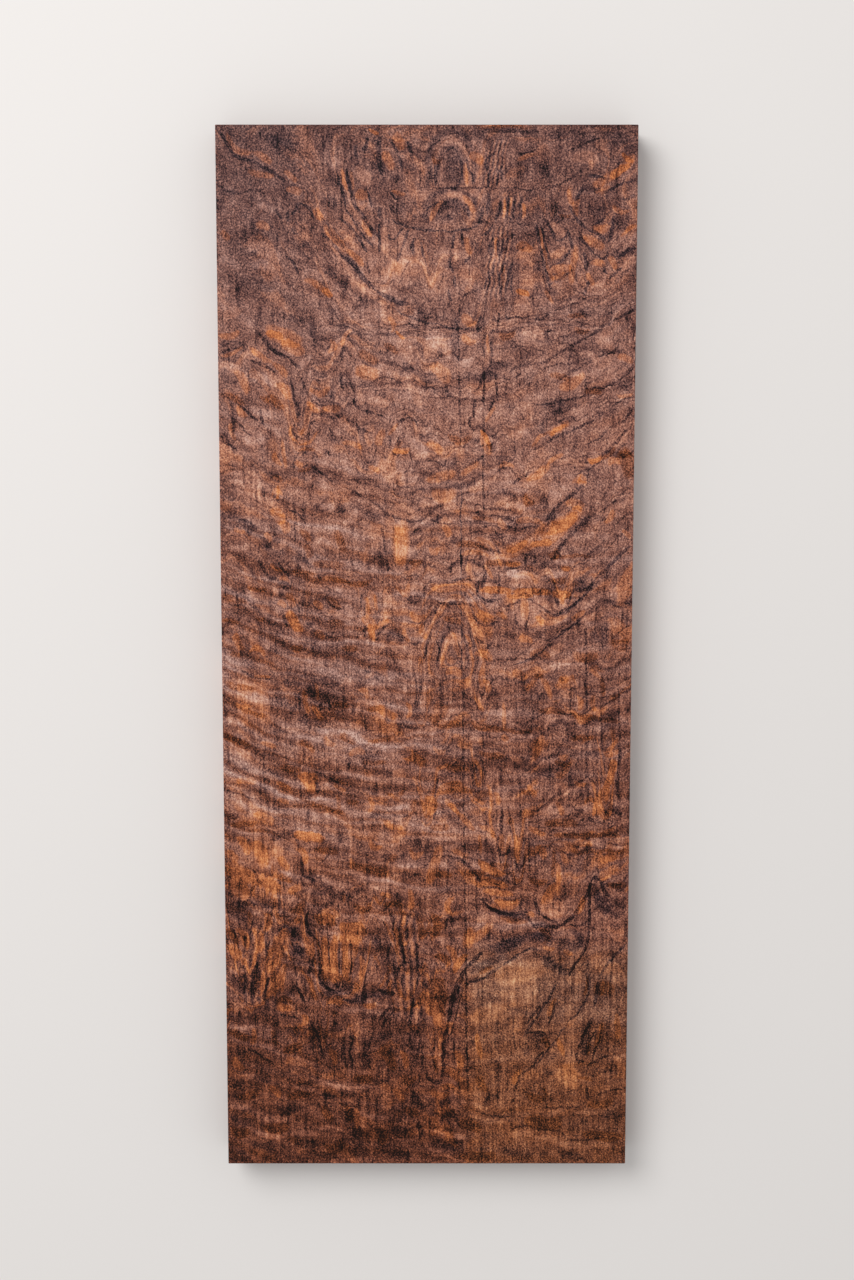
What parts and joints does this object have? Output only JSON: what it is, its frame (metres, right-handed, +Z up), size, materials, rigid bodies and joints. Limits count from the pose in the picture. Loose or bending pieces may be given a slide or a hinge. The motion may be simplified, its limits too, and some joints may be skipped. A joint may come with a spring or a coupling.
{
  "type": "walnut board",
  "caption": "Short wide board of figured walnut, planed and sanded flat with square ends and lightly eased arrises, for table tops, boxes and instrument parts.",
  "frame": {"origin": "middle of the face that the board rests on", "axes": "+X across the board, +Y along the grain to the end that is uppermost in the picture, +Z up through the thickness to the show face"},
  "size_m": [0.239, 0.61, 0.025],
  "materials": {
    "walnut": "sanded, oiled satin"
  },
  "bodies": {
    "root": {"board": "walnut"}
  },
  "joints": []
}
